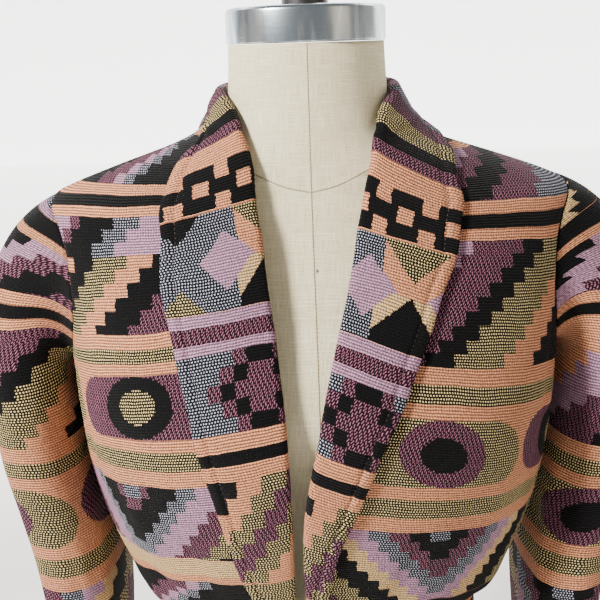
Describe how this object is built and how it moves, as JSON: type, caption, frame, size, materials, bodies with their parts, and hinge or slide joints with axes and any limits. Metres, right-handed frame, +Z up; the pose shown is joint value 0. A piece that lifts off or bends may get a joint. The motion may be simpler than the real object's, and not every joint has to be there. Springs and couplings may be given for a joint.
{
  "type": "blanket jacket on a limbless dress form",
  "caption": "Cropped woven cotton blanket jacket with a shawl collar, long sleeves and a waistband, worn by a limbless dress form on a counter stand.",
  "frame": {"origin": "middle of the stand foot's underside, on the surface it stands on", "axes": "+Z up, the jacket's front faces -Y, +X is the viewer's right seen from the front"},
  "size_m": [0.5226, 0.33, 0.9917],
  "materials": {
    "blanket_cotton": "ribbed tapestry weave in black, peach, lilac, plum, grey and straw cotton, matt",
    "dark_button": "moulded, softly polished",
    "form_linen": "natural linen cover, matt",
    "cap_metal": "spun and polished, lightly worn",
    "black_enamel": "semi-gloss",
    "pole_steel": "satin"
  },
  "bodies": {
    "root": {"back": "blanket_cotton", "front_left": "blanket_cotton", "front_right": "blanket_cotton", "sleeve_left": "blanket_cotton", "sleeve_right": "blanket_cotton", "collar_left": "blanket_cotton", "collar_right": "blanket_cotton", "waistband": "blanket_cotton", "button": "dark_button", "form_torso": "form_linen", "neck_cap": "cap_metal", "cap_knob": "black_enamel", "stand_foot": "black_enamel", "stand_pole": "pole_steel", "stand_plate": "black_enamel"}
  },
  "joints": []
}
